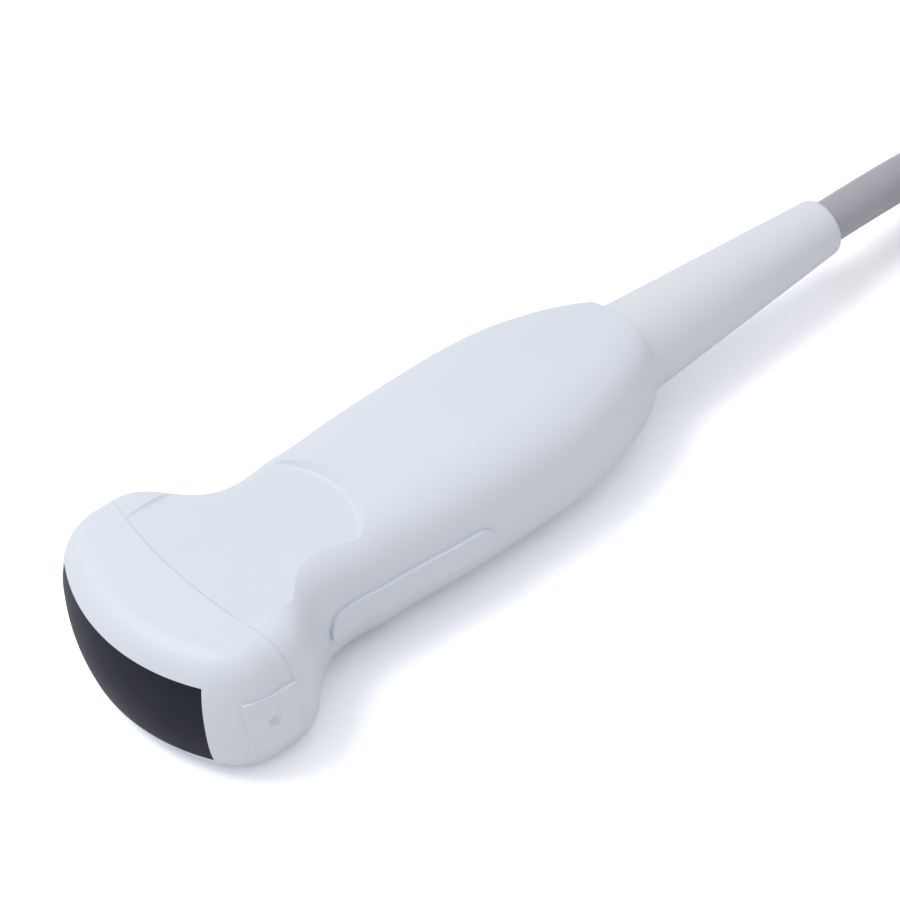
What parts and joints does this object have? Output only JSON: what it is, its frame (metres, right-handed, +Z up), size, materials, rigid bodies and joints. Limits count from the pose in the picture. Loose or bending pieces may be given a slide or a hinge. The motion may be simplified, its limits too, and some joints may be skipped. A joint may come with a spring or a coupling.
{
  "type": "ultrasound transducer probe",
  "caption": "Curved-array ultrasound probe: hand-held head with a dark lens, waisted grip, strain relief, cable put up in a hank and a system connector with a turning lock.",
  "frame": {"origin": "under the middle of the probe, from lens front to strain relief tip, on the surface it rests on", "axes": "+X from the lens to the cable, +Y to the side without the index rib, +Z up"},
  "size_m": [0.3866, 0.0994, 0.0639],
  "materials": {
    "housing": "light cool grey-white moulding with a fine satin texture",
    "lens_silicone": "smooth dark silicone",
    "relief_elastomer": "soft grey moulding, satin",
    "cable_jacket": "mid grey jacket, slightly shiny",
    "seal_rubber": "soft seal",
    "matching_resin": "filled resin",
    "piezo_ceramic": "diced ceramic with plated faces",
    "backing": "loaded absorber",
    "frame_polymer": "black filled moulding",
    "aluminium": "machined",
    "polyimide": "amber film",
    "board_laminate": "green solder mask",
    "part_black": "black moulded bodies of electronic parts",
    "ferrite": "sintered ferrite",
    "steel": "plain steel",
    "shield_sheet": "tinned sheet",
    "coax": "bundled fine coaxial wires",
    "contact_gold": "plated contacts",
    "ferrule_brass": "crimped",
    "connector_grey": "mid grey moulding, fine texture",
    "knob_grey": "dark grey moulding",
    "contact_moulding": "black glass-filled moulding",
    "tie_fabric": "woven hook and loop strap"
  },
  "bodies": {
    "probe": {"nose_shell": "housing", "upper_handle_shell": "housing", "lower_handle_shell": "housing", "lens": "lens_silicone", "nose_seal": "seal_rubber", "outer_matching_layer": "matching_resin", "inner_matching_layer": "matching_resin", "piezo_elements": "piezo_ceramic", "backing_block": "backing", "heat_spreader": "aluminium", "array_frame": "frame_polymer", "upper_flex_circuit": "polyimide", "lower_flex_circuit": "polyimide", "chassis": "aluminium", "upper_board": "board_laminate", "lower_board": "board_laminate", "flex_connectors": "part_black", "coax_connectors": "part_black", "tuning_inductors": "ferrite", "board_screws": "steel", "coax_ribbons": "coax", "upper_shield_can": "shield_sheet", "lower_shield_can": "shield_sheet", "cable_end": "cable_jacket", "crimp_ferrule": "ferrule_brass", "upper_cable_clamp": "aluminium", "lower_cable_clamp": "aluminium", "clamp_screws": "steel", "strain_relief": "relief_elastomer", "cable": "cable_jacket", "cable_hank": "cable_jacket", "cable_tail": "cable_jacket", "hank_tie": "tie_fabric", "connector_shroud": "steel", "contact_block": "contact_moulding", "contact_pins": "contact_gold", "board_spacers": "part_black", "connector_board": "board_laminate", "connector_front_shell": "connector_grey", "connector_rear_shell": "connector_grey", "housing_screws": "steel", "lock_bushing": "ferrule_brass", "connector_boot": "relief_elastomer", "connector_cable_end": "cable_jacket", "connector_fan_out": "coax"},
    "connector_lock": {"lock_shaft": "steel", "shaft_retainer": "steel", "lock_knob": "knob_grey", "knob_cap": "connector_grey"}
  },
  "joints": [
    {"name": "lock_turn", "type": "hinge", "parent": "probe", "child": "connector_lock", "pos_m": [0.2525, 0, 0.0364], "axis": [0, 0, 1], "range_deg": [0, 90]}
  ]
}
